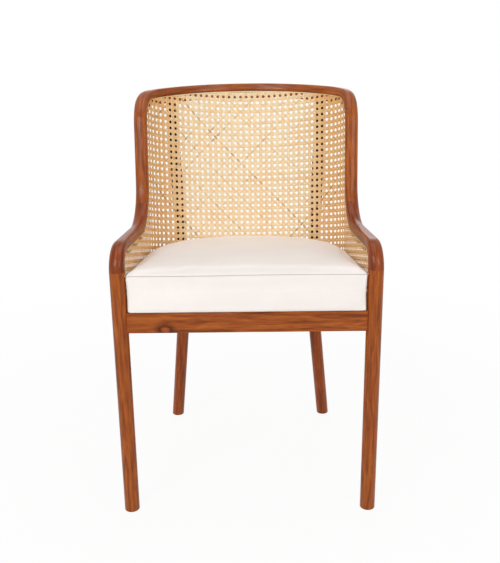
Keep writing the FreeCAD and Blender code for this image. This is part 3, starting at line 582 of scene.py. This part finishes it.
def buildWeave():
    tree, add, given = newTree("caneWeave", {
        "Strands": "Int", "Per Step": "Int", "Start": "Vector", "Step": "Vector", "Pair": "Vector",
        "Way": "Vector", "Segment": "Float", "Wave Axis": "Vector", "Wave": "Float", "Pitch": "Float",
        "Width": "Float", "Thick": "Float", "Lane": "Float", "Slope": "Float", "Lean Base": "Float",
        "Row Height": "Float", "Rise": "Float", "Back Y": "Float", "Middle": "Float", "Jitter": "Float",
        "Plan": "Object", "Outline": "Object", "Seed": "Int", "Material": "Material"})
    # where each strand starts, singly or in pairs, a little off its place
    index = add("GeometryNodeInputIndex").outputs[0]
    share = add("ShaderNodeMath", {0: index, 1: given["Per Step"]}, operation="DIVIDE").outputs[0]
    step = add("ShaderNodeMath", {0: share}, operation="FLOOR").outputs[0]
    rest = add("ShaderNodeMath", {0: share, 1: step}, operation="SUBTRACT").outputs[0]     # 0 or a half
    odd = add("ShaderNodeMath", {0: rest, 1: 4.0, 2: -1.0}, operation="MULTIPLY_ADD").outputs[0]
    place = add("ShaderNodeVectorMath", {0: given["Step"], "Scale": step}, operation="SCALE").outputs[0]
    place = add("ShaderNodeVectorMath", {0: place, 1: given["Start"]}).outputs[0]
    pair = add("ShaderNodeVectorMath", {0: given["Pair"], "Scale": odd}, operation="SCALE").outputs[0]
    place = add("ShaderNodeVectorMath", {0: place, 1: pair}).outputs[0]
    stray = add("FunctionNodeRandomValue", {0: (-1, -1, 0), 1: (1, 1, 0), "Seed": given["Seed"]},
                data_type="FLOAT_VECTOR").outputs[0]
    stray = add("ShaderNodeVectorMath", {0: stray, "Scale": given["Jitter"]}, operation="SCALE").outputs[0]
    place = add("ShaderNodeVectorMath", {0: place, 1: stray}).outputs[0]
    points = add("GeometryNodePoints", {"Count": given["Strands"], "Position": place}).outputs[0]
    # flat strands, each with a tone of its own
    line = add("GeometryNodeCurvePrimitiveLine", {"Start": (0, 0, 0), "End": given["Way"]}).outputs[0]
    line = add("GeometryNodeResampleCurve", {"Curve": line, "Length": given["Segment"]},
               mode="LENGTH").outputs[0]
    lines = add("GeometryNodeInstanceOnPoints", {"Points": points, "Instance": line}).outputs[0]
    tone = add("FunctionNodeRandomValue", {"Seed": given["Seed"]}).outputs[1]
    for label, value in (("strand", tone), ("odd", odd)):
        lines = add("GeometryNodeStoreNamedAttribute", {"Geometry": lines, "Name": label, "Value": value},
                    domain="INSTANCE").outputs[0]
    flat = add("GeometryNodeRealizeInstances", {0: lines}).outputs[0]
    flat = add("GeometryNodeCurveToMesh", {0: flat}).outputs[0]
    # cut to the outline of the back
    where = add("GeometryNodeInputPosition").outputs[0]
    above = add("ShaderNodeVectorMath", {0: where, 1: (0, 0, 1)}).outputs[0]
    mask = add("GeometryNodeObjectInfo", {"Object": given["Outline"]}).outputs["Geometry"]
    inside = add("GeometryNodeRaycast", {0: mask, "Source Position": above, "Ray Direction": (0, 0, -1),
                                         "Ray Length": 2.0}).outputs["Is Hit"]
    beyond = add("FunctionNodeBooleanMath", {0: inside}, operation="NOT").outputs[0]
    flat = add("GeometryNodeDeleteGeometry", {0: flat, "Selection": beyond}).outputs[0]
    flat = add("GeometryNodeMeshToCurve", {0: flat}).outputs[0]
    # over and under the strands that it crosses
    across = add("ShaderNodeVectorMath", {0: where, 1: given["Wave Axis"]},
                 operation="DOT_PRODUCT").outputs["Value"]
    phase = add("ShaderNodeMath", {0: across, 1: given["Pitch"]}, operation="DIVIDE").outputs[0]
    phase = add("ShaderNodeMath", {0: phase, 1: 2 * math.pi, 2: math.pi}, operation="MULTIPLY_ADD")
    rise = add("ShaderNodeMath", {0: phase.outputs[0]}, operation="COSINE").outputs[0]
    rise = add("ShaderNodeMath", {0: rise, 1: given["Wave"]}, operation="MULTIPLY").outputs[0]
    sign = add("GeometryNodeInputNamedAttribute", {"Name": "odd"}).outputs[0]
    rise = add("ShaderNodeMath", {0: rise, 1: sign}, operation="MULTIPLY").outputs[0]
    lift = add("ShaderNodeCombineXYZ", {"Z": rise}).outputs[0]
    flat = add("GeometryNodeSetPosition", {0: flat, "Offset": lift}).outputs[0]
    flat = add("GeometryNodeSetCurveNormal", {0: flat}, mode="Z_UP").outputs[0]
    ring = add("GeometryNodeCurvePrimitiveCircle", {"Resolution": weaveForm["sides"],
                                                    "Radius": 0.5}).outputs[0]
    size = add("ShaderNodeCombineXYZ", {"X": given["Width"], "Y": given["Thick"], "Z": 1.0}).outputs[0]
    ring = add("GeometryNodeTransform", {0: ring, "Scale": size}).outputs[0]
    strands = add("GeometryNodeCurveToMesh", {0: flat, "Profile Curve": ring, "Fill Caps": True}).outputs[0]
    # wrapped round the leaning back
    split = add("ShaderNodeSeparateXYZ", {0: where}).outputs
    along = add("ShaderNodeMath", {0: split[0], 1: given["Middle"]}).outputs[0]
    plan = add("GeometryNodeObjectInfo", {"Object": given["Plan"]}).outputs["Geometry"]
    sample = add("GeometryNodeSampleCurve", {"Curves": plan, "Length": along}, mode="LENGTH",
                 use_all_curves=True)
    way = add("ShaderNodeSeparateXYZ", {0: sample.outputs["Tangent"]}).outputs
    back = add("ShaderNodeMath", {0: way[1], 1: -1.0}, operation="MULTIPLY").outputs[0]
    inward = add("ShaderNodeCombineXYZ", {"X": back, "Y": way[0]}).outputs[0]
    depth = add("ShaderNodeMath", {0: split[2], 1: given["Lane"]}).outputs[0]
    inward = add("ShaderNodeVectorMath", {0: inward, "Scale": depth}, operation="SCALE").outputs[0]
    planY = add("ShaderNodeSeparateXYZ", {0: sample.outputs["Position"]}).outputs[1]
    forward = add("ShaderNodeMath", {0: given["Back Y"], 1: planY}, operation="SUBTRACT").outputs[0]
    height = add("ShaderNodeMath", {0: split[1], 1: given["Row Height"]}).outputs[0]
    height = add("ShaderNodeMath", {0: forward, 1: given["Rise"], 2: height},
                 operation="MULTIPLY_ADD").outputs[0]
    above = add("ShaderNodeMath", {0: height, 1: given["Lean Base"]}, operation="SUBTRACT").outputs[0]
    shift = add("ShaderNodeMath", {0: above, 1: given["Slope"]}, operation="MULTIPLY").outputs[0]
    raised = add("ShaderNodeCombineXYZ", {"Y": shift, "Z": height}).outputs[0]
    wrapped = add("ShaderNodeVectorMath", {0: sample.outputs["Position"], 1: inward}).outputs[0]
    wrapped = add("ShaderNodeVectorMath", {0: wrapped, 1: raised}).outputs[0]
    strands = add("GeometryNodeSetPosition", {0: strands, "Position": wrapped}).outputs[0]
    strands = add("GeometryNodeSetShadeSmooth", {0: strands}).outputs[0]
    finishTree(add, strands, given["Material"])
    return tree


def makePlanLine():
    s = np.arange(-weaveForm["lead"], 2 * sMiddle + weaveForm["lead"], backForm["sample"])
    x, y = planAt(s)[:2]
    curve = bpy.data.curves.new("planLine", "CURVE")
    curve.dimensions = "3D"
    spline = curve.splines.new("POLY")
    spline.points.add(len(s) - 1)
    spline.points.foreach_set("co", np.stack([x * mm, y * mm, 0 * x, 0 * x + 1], -1).ravel())
    line = bpy.data.objects.new("planLine", curve)
    scene.collection.objects.link(line)
    return line


def developed(p):           # distance along the plan of points near the back
    w = weaveForm
    s = np.arange(-w["overrun"], 2 * sMiddle + w["overrun"], w["search"])
    x, y = planAt(s, -backForm["caneMiddle"])[:2]
    py = p[:, 1] - (p[:, 2] - backForm["armJointZ"]) * leanSlope
    near = ((p[:, :1] - x[None]) ** 2 + (py[:, None] - y[None]) ** 2).argmin(1)
    return s[near]


def flatPoints(s, z):       # where a point of the back lies on the flat sheet, before its rows are bent up
    forward = planAt(sMiddle)[1] - planAt(s)[1]
    y = (z - forward * weaveForm["rise"]) * mm - weaveForm["rowHeight"]
    return list(zip((s - sMiddle) * mm, y, 0 * s))


def makeOutline():          # edge of the cane under the reed, closed along the seat rails
    edge = pathPlace + pathRim * backForm["reedRim"] + pathIn * backForm["caneMiddle"]
    s = developed(edge)
    foot = np.linspace(s[-1], s[0], weaveForm["footPoints"])
    corners = flatPoints(s, edge[:, 2]) + flatPoints(foot, backForm["caneBottom"] + 0 * foot)
    mesh = bpy.data.meshes.new("caneOutline")
    mesh.from_pydata(corners, [], [list(range(len(corners)))])
    outline = bpy.data.objects.new("caneOutline", mesh)
    scene.collection.objects.link(outline)
    return outline


def makeCanePieces():
    w = weaveForm
    p, q = w["pitch"], w["rowPitch"]
    plan, outline, tree = makePlanLine(), makeOutline(), buildWeave()
    lowest = backForm["caneBottom"] * mm - w["rowHeight"] - w["rise"] * backForm["backDepth"] * mm
    wide = math.ceil(sMiddle * mm / p) + 1
    low = math.floor(lowest / q) - 1
    tall = math.ceil((backForm["crestZ"] * mm - w["rowHeight"]) / q) + 1 - low
    left, bottom, height, reach = -wide * p, low * q, tall * q, tall * p
    shared = {"Width": w["width"], "Thick": w["thick"], "Lane": backForm["caneMiddle"] * mm,
              "Slope": leanSlope, "Lean Base": backForm["armJointZ"] * mm, "Row Height": w["rowHeight"],
              "Rise": w["rise"], "Back Y": float(planAt(sMiddle)[1]) * mm,
              "Middle": (sMiddle + w["lead"]) * mm, "Jitter": w["jitter"], "Segment": w["segment"],
              "Plan": plan, "Outline": outline, "Material": caneSkin}
    slant = {"Strands": 2 * wide + tall, "Per Step": 1, "Step": (p, 0, 0), "Pair": (0, 0, 0), "Pitch": p,
             "Wave Axis": (1, 0, 0), "Material": slantSkin}
    families = {
        "cane_upright": {"Strands": 4 * wide, "Per Step": 2, "Start": (left + p / 2, bottom, 0),
                         "Step": (p, 0, 0), "Pair": (w["pairGap"], 0, 0), "Way": (0, height, 0),
                         "Wave Axis": (0, 1, 0), "Pitch": q, "Wave": w["pairWave"], "Seed": w["seed"]},
        "cane_level": {"Strands": 2 * tall, "Per Step": 2, "Start": (left, bottom + q / 2, 0),
                       "Step": (0, q, 0), "Pair": (0, w["pairGap"], 0), "Way": (-2 * left, 0, 0),
                       "Wave Axis": (1, 0, 0), "Pitch": p, "Wave": -w["pairWave"], "Seed": w["seed"] + 1},
        "cane_rising": {**slant, "Start": (left - reach - p / 2, bottom, 0), "Way": (reach, height, 0),
                        "Wave": -w["wave"], "Seed": w["seed"] + 2},
        "cane_falling": {**slant, "Start": (left - reach - p / 2, bottom + height, 0),
                         "Way": (reach, -height, 0), "Wave": w["wave"], "Seed": w["seed"] + 3},
    }
    for name, values in families.items():
        piece = growPiece(name, bpy.data.meshes.new(name), tree, {**shared, **values})
        settle(piece, "cane", "cane_panel")
        print(name, len(piece.data.polygons), "faces")
    for helper in (plan, outline):
        bpy.data.objects.remove(helper)


makeCanePieces()


# Reed that wedges the cane into the groove of the frame
reedForm = {"width": 3.3 * mm, "depth": 6.6 * mm, "sides": 10, "tone": 0.6}


def buildSweep():           # a round section along a line, for the reed and the seam
    tree, add, given = newTree("roundSweep", {
        "Line": "Geometry", "Width": "Float", "Depth": "Float", "Sides": "Int", "Material": "Material"})
    line = add("GeometryNodeMeshToCurve", {0: given["Line"]}).outputs[0]
    facing = add("GeometryNodeInputNamedAttribute", {"Name": "facing"}, data_type="FLOAT_VECTOR").outputs[0]
    line = add("GeometryNodeSetCurveNormal", {0: line, "Normal": facing}, mode="FREE").outputs[0]
    ring = add("GeometryNodeCurvePrimitiveCircle", {"Resolution": given["Sides"], "Radius": 0.5}).outputs[0]
    size = add("ShaderNodeCombineXYZ", {"X": given["Depth"], "Y": given["Width"], "Z": 1.0}).outputs[0]
    ring = add("GeometryNodeTransform", {0: ring, "Scale": size}).outputs[0]
    tube = add("GeometryNodeCurveToMesh", {0: line, "Profile Curve": ring, "Fill Caps": True}).outputs[0]
    tube = add("GeometryNodeSetShadeSmooth", {0: tube}).outputs[0]
    finishTree(add, tube, given["Material"])
    return tree


def lineMesh(name, points, facing):
    mesh = bpy.data.meshes.new(name)
    mesh.from_pydata([tuple(p) for p in points], [(i, i + 1) for i in range(len(points) - 1)], [])
    layer = mesh.attributes.new("facing", "FLOAT_VECTOR", "POINT")
    layer.data.foreach_set("vector", np.asarray(facing, float).ravel())
    tone = mesh.attributes.new("strand", "FLOAT", "POINT")
    tone.data.foreach_set("value", np.full(len(points), reedForm["tone"]))
    return mesh


sweepTree = buildSweep()
reedLine = (pathPlace + pathIn * backForm["reedMiddle"] + pathRim * backForm["reedRim"]) * mm
reed = growPiece("frame_reed", lineMesh("reedLine", reedLine, pathIn), sweepTree,
                 {"Width": reedForm["width"], "Depth": reedForm["depth"], "Sides": reedForm["sides"],
                  "Material": reedSkin})
settle(reed, "cane", "frame_spline")
print("reed", len(reed.data.polygons), "faces")


# Boxed seat cushion, a little fuller at the sides than the solid inside it
cushionForm = {
    "taper": 3.0, "sideRadius": 210.0, "gap": 15.0, "front": 13.0, "bottom": 418.4, "wall": 71.0,
    "slope": 0.045, "corner": 3.5, "draw": 1.5, "slack": 0.3, "legRoom": 0.3,
    "crown": 10.5,
    "crownSteps": ((2.5, 0.16), (8, 0.38), (18, 0.62), (34, 0.82), (60, 0.95), (90, 1.0)),  # inset, share
    "ring": 320, "wallRings": 9, "samples": 700, "overrun": 40, "cornerPoints": 8, "frontPoints": 60,
    "voxel": 5 * mm, "pressure": 4.0, "frames": 20, "quality": 5, "holdHeight": 4,
    "capSide": 2.2 * mm, "capRise": 3.5 * mm,
    "seamDepth": 1.3 * mm, "seamWidth": 2.4 * mm, "seamReach": 4, "seamRound": 0.6 * mm, "seamSides": 6,
    "seamWander": 0.5, "seamWaves": 19, "seamPhase": 0.6,
}
seatPlan = solvePlan(cushionForm["taper"], cushionForm["sideRadius"])


def cushionRing(inset, zFront, slope):      # outline of the cushion at a height, as an even ring of points
    f = cushionForm
    frontY = legAxisY - f["front"] + inset
    s = np.linspace(-f["overrun"], 2 * seatPlan["toMiddle"] + f["overrun"], f["samples"])
    x, y = planAt(s, -f["gap"] - inset, seatPlan)[:2]
    z = zFront - (y - frontY) * slope
    y = y + (z - backForm["armJointZ"]) * leanSlope
    tip = x[y > frontY][0]
    keep = y > frontY + f["corner"]
    hoop = np.stack([x[keep], y[keep]], -1)
    turn = np.linspace(0, 1, f["cornerPoints"])[1:, None]
    across, ahead = np.array([f["corner"], 0.0]), np.array([-tip, frontY])
    left = (1 - turn) ** 2 * hoop[-1] + 2 * turn * (1 - turn) * ahead + turn ** 2 * (ahead + across)
    right = (left * np.array([-1.0, 1.0]))[::-1]
    front = np.linspace(left[-1], right[0], f["frontPoints"])[1:-1]
    ring = np.concatenate([hoop, left, front, right, hoop[:1]])
    far = np.concatenate([[0], np.cumsum(np.linalg.norm(np.diff(ring, axis=0), axis=1))])
    even = np.linspace(0, far[-1], f["ring"], endpoint=False)
    x, y = np.interp(even, far, ring[:, 0]), np.interp(even, far, ring[:, 1])
    return np.stack([x, y, zFront - (y - frontY) * slope], -1)


def makeCushion():
    f = cushionForm
    top = f["bottom"] + f["wall"]
    rings = []
    for share in np.linspace(0, 1, f["wallRings"]):
        draw = f["draw"] * math.sin(math.pi * share)
        rings.append(cushionRing(f["slack"] + draw, f["bottom"] + f["wall"] * share, f["slope"] * share))
    for inset, rise in f["crownSteps"]:
        rings.append(cushionRing(f["slack"] + inset, top + f["crown"] * rise, f["slope"]))
    count = f["ring"]
    points = np.concatenate(rings) * mm
    starts = [r * count for r in range(len(rings))]
    faces = []
    for low, high in zip(starts, starts[1:]):
        for i in range(count):
            after = (i + 1) % count
            faces.append([low + i, low + after, high + after, high + i])
    faces += [list(range(count))[::-1], [starts[-1] + i for i in range(count)]]
    mesh = bpy.data.meshes.new("seat_cushion")
    mesh.from_pydata([tuple(p) for p in points], [], faces)
    work = bmesh.new()
    work.from_mesh(mesh)
    bmesh.ops.recalc_face_normals(work, faces=work.faces)
    work.to_mesh(mesh)
    work.free()
    cushion = bpy.data.objects.new("seat_cushion", mesh)
    scene.collection.objects.link(cushion)
    remesh = cushion.modifiers.new("remesh", "REMESH")
    remesh.mode = "VOXEL"
    remesh.voxel_size = f["voxel"]
    makePlain(cushion)
    swell(cushion)
    smooth = cushion.modifiers.new("smooth", "SUBSURF")
    smooth.levels = 1
    smooth.render_levels = 1
    makePlain(cushion)
    seam = rings[f["wallRings"] - 1] * mm
    seam[:, 2] += np.sin(seam[:, 0] * f["seamWaves"] + f["seamPhase"]) * f["seamWander"] * mm
    sewSeam(cushion, seam)
    cushion.data.materials.clear()
    cushion.data.materials.append(canvas)
    cushion.data.shade_smooth()
    settle(cushion, "seat_fabric", "seat_cover", "seat_foam")
    print("cushion", len(cushion.data.polygons), "faces")
    return seam


def swell(cushion):         # short cloth simulation: the foam pushes the cover out
    f = cushionForm
    mesh = cushion.data
    start = np.zeros(len(mesh.vertices) * 3)
    mesh.vertices.foreach_get("co", start)
    start = start.reshape(-1, 3)
    held = cushion.vertex_groups.new(name="held")
    low = np.nonzero(start[:, 2] < (f["bottom"] + f["holdHeight"]) * mm)[0]
    held.add([int(i) for i in low], 1.0, "REPLACE")
    cloth = cushion.modifiers.new("cloth", "CLOTH")
    cloth.settings.quality = f["quality"]
    cloth.settings.use_pressure = True
    cloth.settings.uniform_pressure_force = f["pressure"]
    cloth.settings.effector_weights.gravity = 0
    cloth.settings.vertex_group_mass = "held"
    cloth.point_cache.frame_start = 1
    cloth.point_cache.frame_end = f["frames"]
    for number in range(1, f["frames"] + 1):
        scene.frame_set(number)
    makePlain(cushion)
    scene.frame_set(1)
    end = np.zeros(len(cushion.data.vertices) * 3)
    cushion.data.vertices.foreach_get("co", end)
    move = end.reshape(-1, 3) - start
    side = np.linalg.norm(move[:, :2], axis=1)
    move[:, :2] *= np.minimum(1, f["capSide"] / np.maximum(side, 1e-9))[:, None]
    outward = start[:, :2] - (start.min(0) + start.max(0))[:2] / 2
    outward /= np.linalg.norm(outward, axis=1)[:, None]
    inward = np.minimum(0, (outward * move[:, :2]).sum(1))
    move[:, :2] -= outward * inward[:, None]        # the corners stay filled
    move[:, 2] = np.clip(move[:, 2], 0, f["capRise"])
    place = start + move
    beside = place[:, 1] < legHigh.y
    room = legLow.x - f["legRoom"] * mm
    place[beside, 0] = np.clip(place[beside, 0], -room, room)
    cushion.data.vertices.foreach_set("co", place.ravel())
    cushion.vertex_groups.clear()


def sewSeam(cushion, seam):
    f = cushionForm
    mesh = cushion.data
    tree = kdtree.KDTree(len(seam))
    for i, p in enumerate(seam):
        tree.insert(p, i)
    tree.balance()
    for vertex in mesh.vertices:
        reach = tree.find(vertex.co)[2]
        if reach < f["seamReach"] * f["seamWidth"]:
            vertex.co -= vertex.normal * f["seamDepth"] * math.exp(-(reach / f["seamWidth"]) ** 2)
    mesh.update()


seamPoints = makeCushion()


def makeSeamPiece(points):
    middle = np.array([0.0, 0.0, points[:, 2].mean()])
    closed = np.vstack([points, points[:1]])
    facing = closed - middle
    facing[:, 2] = 0
    facing /= np.linalg.norm(facing, axis=1)[:, None]
    size = 2 * cushionForm["seamRound"]
    piece = growPiece("seat_seam", lineMesh("seamLine", closed, facing), sweepTree,
                      {"Width": size, "Depth": size, "Sides": cushionForm["seamSides"],
                       "Material": seamSkin})
    settle(piece, "seat_fabric")
    print("seam", len(piece.data.polygons), "faces")


makeSeamPiece(seamPoints)


# White studio: a shadow floor that fades to the background, four soft boxes and a pale sky
stageForm = {"floor": 8.0, "fadeFrom": 0.5, "fadeTo": 1.6, "shadowShare": 0.07, "sky": 0.33,
             "colour": "#fbfbfa"}
lampForm = {
    "keyBox": {"place": (-1.3, -2.6, 1.9), "aim": (0, 0, 0.5), "size": 1.4, "watts": 36},
    "fillBox": {"place": (1.6, -2.4, 1.5), "aim": (0, 0, 0.5), "size": 1.4, "watts": 19},
    "topBox": {"place": (0, -0.3, 2.6), "aim": (0, -0.1, 0.5), "size": 1.6, "watts": 13},
    "backBox": {"place": (0.3, 2.4, 2.0), "aim": (0, 0, 0.5), "size": 1.6, "watts": 14},
}


def addLooked(add):         # 1 for rays that look at the background, straight, mirrored or through glass
    seen = add("ShaderNodeLightPath").outputs
    looked = add("ShaderNodeMath", {0: seen["Is Camera Ray"], 1: seen["Is Glossy Ray"]},
                 operation="MAXIMUM")
    return add("ShaderNodeMath", {0: looked.outputs[0], 1: seen["Is Transmission Ray"]},
               operation="MAXIMUM").outputs[0]


def makeStage():
    mesh = bpy.data.meshes.new("floor")
    r = stageForm["floor"]
    mesh.from_pydata([(-r, -r, 0), (r, -r, 0), (r, r, 0), (-r, r, 0)], [], [(0, 1, 2, 3)])
    floor = bpy.data.objects.new("floor", mesh)
    scene.collection.objects.link(floor)
    material, add = newMaterial("whiteFloor")
    place = add("ShaderNodeTexCoord").outputs["Object"]
    reach = add("ShaderNodeVectorMath", {0: place}, operation="LENGTH").outputs["Value"]
    fade = add("ShaderNodeMapRange", {0: reach, 1: stageForm["fadeFrom"], 2: stageForm["fadeTo"],
                                      3: 1 - stageForm["shadowShare"], 4: 1.0}).outputs[0]
    looked = addLooked(add)
    share = add("ShaderNodeMath", {0: fade, 1: looked}, operation="MULTIPLY").outputs[0]
    matt = add("ShaderNodeBsdfDiffuse", {"Color": linear(stageForm["colour"])})
    glow = add("ShaderNodeEmission", {"Color": (1, 1, 1, 1), "Strength": 1.0})
    mixed = add("ShaderNodeMixShader", {0: share, 1: matt.outputs[0], 2: glow.outputs[0]})
    add("ShaderNodeOutputMaterial", {0: mixed.outputs[0]})
    mesh.materials.append(material)


def makeLight():
    world = bpy.data.worlds.new("studio")
    scene.world = world
    world.use_nodes = True
    world.node_tree.nodes.clear()
    add = partial(addNode, world.node_tree)
    looked = addLooked(add)
    sky = add("ShaderNodeBackground", {"Color": (1, 1, 1, 1), "Strength": stageForm["sky"]})
    white = add("ShaderNodeBackground", {"Color": (1, 1, 1, 1), "Strength": 1.0})
    mixed = add("ShaderNodeMixShader", {0: looked, 1: sky.outputs[0], 2: white.outputs[0]})
    add("ShaderNodeOutputWorld", {0: mixed.outputs[0]})
    for name, lamp in lampForm.items():
        data = bpy.data.lights.new(name, "AREA")
        data.size = lamp["size"]
        data.energy = lamp["watts"]
        box = bpy.data.objects.new(name, data)
        scene.collection.objects.link(box)
        box.location = lamp["place"]
        toAim = Vector(lamp["aim"]) - Vector(lamp["place"])
        box.rotation_euler = toAim.to_track_quat("-Z", "Y").to_euler()
    scene.view_settings.view_transform = "Standard"


makeStage()
makeLight()
print("stage set")
